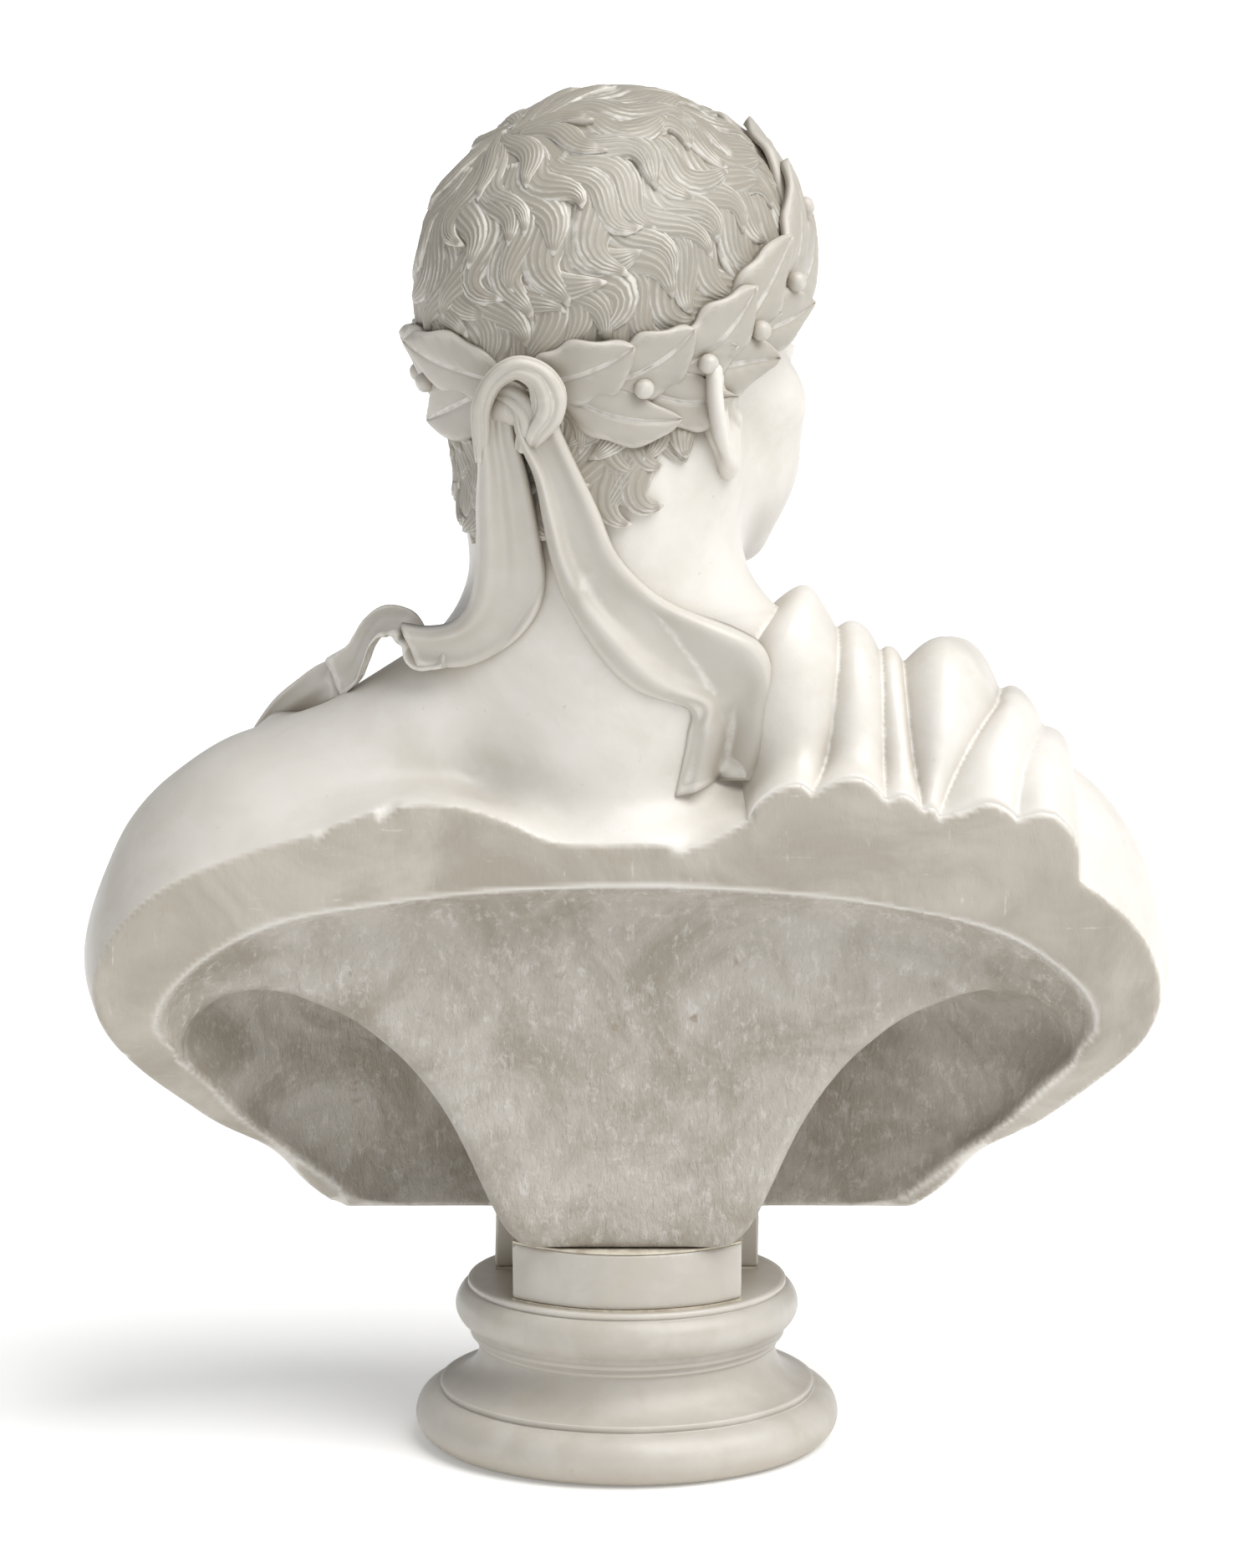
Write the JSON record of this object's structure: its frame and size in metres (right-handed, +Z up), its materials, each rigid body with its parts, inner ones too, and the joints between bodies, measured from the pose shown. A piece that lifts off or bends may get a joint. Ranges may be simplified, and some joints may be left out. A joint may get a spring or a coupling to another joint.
{
  "type": "marble bust",
  "caption": "Life-size laureate bust in marble, its back sawn flat and hollowed round a fan-shaped pillar, on a turned round socle.",
  "frame": {"origin": "centre of the socle's underside, on the surface it stands on", "axes": "+Z up; the chest faces -Y and the sawn back faces +Y; +X is the figure's own left"},
  "size_m": [0.5112, 0.2565, 0.6535],
  "materials": {
    "bust_marble": "fine-grained warm white marble, honed and lightly waxed, faint beige mottling and whitish wear on ridges",
    "tooled_marble": "the same marble left rough from the claw chisel, grey with brown specks and dirt",
    "socle_marble": "white marble, turned and polished",
    "plaster": "dull setting plaster",
    "steel": "plain steel"
  },
  "bodies": {
    "root": {"socle": "socle_marble", "neck_block": "socle_marble", "socle_bed": "plaster", "bust_bed": "plaster", "dowel": "steel", "dowel_grout": "plaster", "washer": "steel", "nut": "steel", "torso": "bust_marble", "back_pillar": "tooled_marble", "neck": "bust_marble", "head": "bust_marble", "left_ear": "bust_marble", "right_ear": "bust_marble", "laurel_left": "bust_marble", "laurel_right": "bust_marble", "laurel_berries": "bust_marble", "ribbon_knot": "bust_marble", "ribbon_tail_left": "bust_marble", "ribbon_tail_right": "bust_marble", "shoulder_cloak": "bust_marble", "chest_cloak": "bust_marble"}
  },
  "joints": []
}
